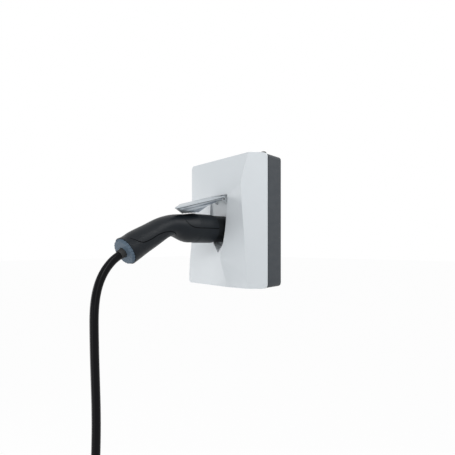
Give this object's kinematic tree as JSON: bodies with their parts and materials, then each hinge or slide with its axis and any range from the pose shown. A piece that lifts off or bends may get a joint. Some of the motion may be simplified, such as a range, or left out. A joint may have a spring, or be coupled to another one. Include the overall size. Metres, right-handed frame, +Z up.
{
  "type": "ev wallbox",
  "caption": "Wall-mounted car charging box with a faceted white cover, an open socket flap, and a hand-held plug whose cable hangs down to a coil and a vehicle connector.",
  "frame": {"origin": "centre of the wall plate's four screw holes, on the wall", "axes": "+Z up, the wall is the plane Y = 0, the box faces -Y, +X to the right seen from the front"},
  "size_m": [0.221, 0.4018, 1.0192],
  "materials": {
    "cover_white": "satin moulded plastic",
    "flap_white": "satin moulded plastic",
    "flap_grey": "grooved moulded plastic",
    "housing_dark": "fine grained plastic",
    "plug_dark": "matt moulded plastic",
    "plug_black": "smooth moulded plastic",
    "carrier_black": "moulded plastic",
    "gland_blue": "pale translucent plastic",
    "cable_black": "smooth cable sheath",
    "tie_black": "woven hook and loop tape",
    "seal_rubber": "soft moulded rubber",
    "steel": "zinc plated steel",
    "pin_dark": "dark coated steel",
    "plate_steel": "powder coated steel",
    "contact_metal": "plated brass",
    "module_grey": "moulded plastic",
    "terminal_beige": "moulded plastic",
    "board_green": "lacquered board",
    "part_black": "moulded plastic",
    "can_metal": "bare metal can"
  },
  "bodies": {
    "box": {"wall_plate": "plate_steel", "rear_housing": "housing_dark", "rear_blank": "housing_dark", "top_grommet": "seal_rubber", "cover_gasket": "seal_rubber", "front_cover": "cover_white", "cover_screws": "steel", "socket_gasket": "seal_rubber", "socket_body": "carrier_black", "socket_carrier": "carrier_black", "socket_contacts": "contact_metal", "socket_screws": "steel", "lock_actuator": "part_black", "flap_pin": "pin_dark", "din_rail": "steel", "supply_terminals": "terminal_beige", "rcd_module": "module_grey", "power_supply": "part_black", "contactor": "module_grey", "leakage_sensor": "part_black", "earth_bar": "contact_metal", "control_board": "board_green", "board_relays": "part_black", "board_capacitors": "can_metal", "board_connectors": "terminal_beige", "comms_board": "board_green"},
    "flap": {"flap_skin": "flap_white", "flap_core": "flap_grey", "flap_seal": "seal_rubber", "flap_spring": "steel"},
    "plug": {"plug_body": "plug_dark", "plug_grip": "plug_dark", "plug_cap": "plug_dark", "plug_collar": "plug_black", "plug_carrier": "carrier_black", "plug_pins": "contact_metal", "plug_end": "gland_blue", "plug_bush": "seal_rubber", "cable": "cable_black", "cable_coil": "cable_black", "coil_ties": "tie_black", "cable_tail": "cable_black", "connector_body": "plug_dark", "connector_grip": "plug_dark", "connector_cap": "plug_dark", "connector_collar": "plug_black", "connector_carrier": "carrier_black", "connector_contacts": "contact_metal", "connector_end": "gland_blue", "connector_bush": "seal_rubber"},
    "bolt": {"lock_bolt": "steel"}
  },
  "joints": [
    {"name": "flap_hinge", "type": "hinge", "parent": "box", "child": "flap", "pos_m": [0, -0.0785, 0.048], "axis": [1, 0, 0], "range_deg": [-35, 0], "stiffness_Nm_per_rad": 0.05, "springref_deg": 76.2},
    {"name": "plug_slide", "type": "slide", "parent": "box", "child": "plug", "axis": [0, -1, 0], "range_m": [0, 0.062]},
    {"name": "bolt_slide", "type": "slide", "parent": "box", "child": "bolt", "axis": [0, 0, -1], "range_m": [0, 0.005]}
  ]
}
